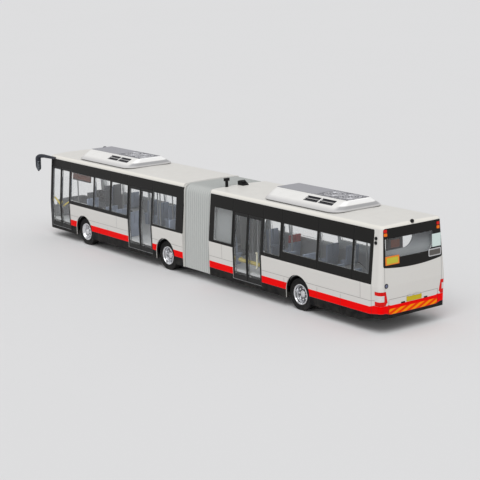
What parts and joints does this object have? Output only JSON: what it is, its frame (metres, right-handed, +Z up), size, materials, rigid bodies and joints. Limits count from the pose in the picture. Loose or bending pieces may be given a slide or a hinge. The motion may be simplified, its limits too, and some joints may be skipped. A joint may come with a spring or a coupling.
{
  "type": "articulated city bus model",
  "caption": "Scale model of an articulated low-floor city bus: two hollow saloons hinged at a turntable under pleated bellows, free-rolling wheels, pivoting rear section.",
  "frame": {"origin": "on the ground under the tyres, on the centre line, midway between the tail and the front of the mirrors", "axes": "+X forwards along the bus, +Y to the door side (the bus's left), +Z up"},
  "size_m": [0.2414, 0.0414, 0.0444],
  "materials": {
    "body_paint": "gloss",
    "band_black": "gloss",
    "clear_glazing": "gloss",
    "door_black": "gloss",
    "lamp_clear": "gloss",
    "lamp_red": "gloss",
    "chassis_black": "satin",
    "saloon_grey": "matte",
    "seat_blue": "matte",
    "rail_yellow": "gloss",
    "control_black": "matte",
    "display_amber": "gloss",
    "mirror_black": "satin",
    "pod_white": "gloss",
    "pod_grey": "matte",
    "pin_steel": "satin",
    "bellows_rubber": "matte",
    "plate_yellow": "gloss",
    "rim_chrome": "gloss",
    "tyre_rubber": "matte"
  },
  "bodies": {
    "front_section": {"front_shell": "body_paint", "front_window_bands": "band_black", "front_glazing": "clear_glazing", "windscreen": "clear_glazing", "headlamps": "lamp_clear", "front_doors": "door_black", "front_door_glass": "clear_glazing", "front_chassis": "chassis_black", "front_floor": "saloon_grey", "front_seats": "seat_blue", "front_handrails": "rail_yellow", "driver_cab": "saloon_grey", "steering_wheel": "control_black", "front_displays": "display_amber", "mirrors": "mirror_black", "front_pod": "pod_white", "front_pod_plate": "pod_grey", "pivot_pin": "pin_steel", "turntable": "chassis_black", "bellows": "bellows_rubber"},
    "rear_section": {"rear_shell": "body_paint", "rear_window_bands": "band_black", "rear_glazing": "clear_glazing", "tail_panel": "band_black", "tail_glass": "clear_glazing", "rear_doors": "door_black", "rear_door_glass": "clear_glazing", "rear_chassis": "chassis_black", "rear_floor": "saloon_grey", "rear_seats": "seat_blue", "rear_handrails": "rail_yellow", "rear_display": "display_amber", "rear_pod": "pod_white", "rear_pod_plate": "pod_grey", "tail_lamps": "lamp_red", "number_plate": "plate_yellow", "roof_aerials": "mirror_black"},
    "front_wheelset": {"front_axle": "pin_steel", "front_rims": "rim_chrome", "front_tyres": "tyre_rubber"},
    "middle_wheelset": {"middle_axle": "pin_steel", "middle_rims": "rim_chrome", "middle_tyres": "tyre_rubber"},
    "rear_wheelset": {"rear_axle": "pin_steel", "rear_rims": "rim_chrome", "rear_tyres": "tyre_rubber"}
  },
  "joints": [
    {"name": "articulation", "type": "hinge", "parent": "front_section", "child": "rear_section", "pos_m": [-0.00752, 0, 0.0051], "axis": [0, 0, 1], "range_deg": [-40, 40], "deforming": ["bellows"]},
    {"name": "front_wheels_spin", "type": "hinge", "parent": "front_section", "child": "front_wheelset", "pos_m": [0.08335, 0, 0.0063], "axis": [0, 1, 0], "continuous": true},
    {"name": "middle_wheels_spin", "type": "hinge", "parent": "front_section", "child": "middle_wheelset", "pos_m": [0.0155, 0, 0.0063], "axis": [0, 1, 0], "continuous": true},
    {"name": "rear_wheels_spin", "type": "hinge", "parent": "rear_section", "child": "rear_wheelset", "pos_m": [-0.07409, 0, 0.0063], "axis": [0, 1, 0], "continuous": true}
  ]
}
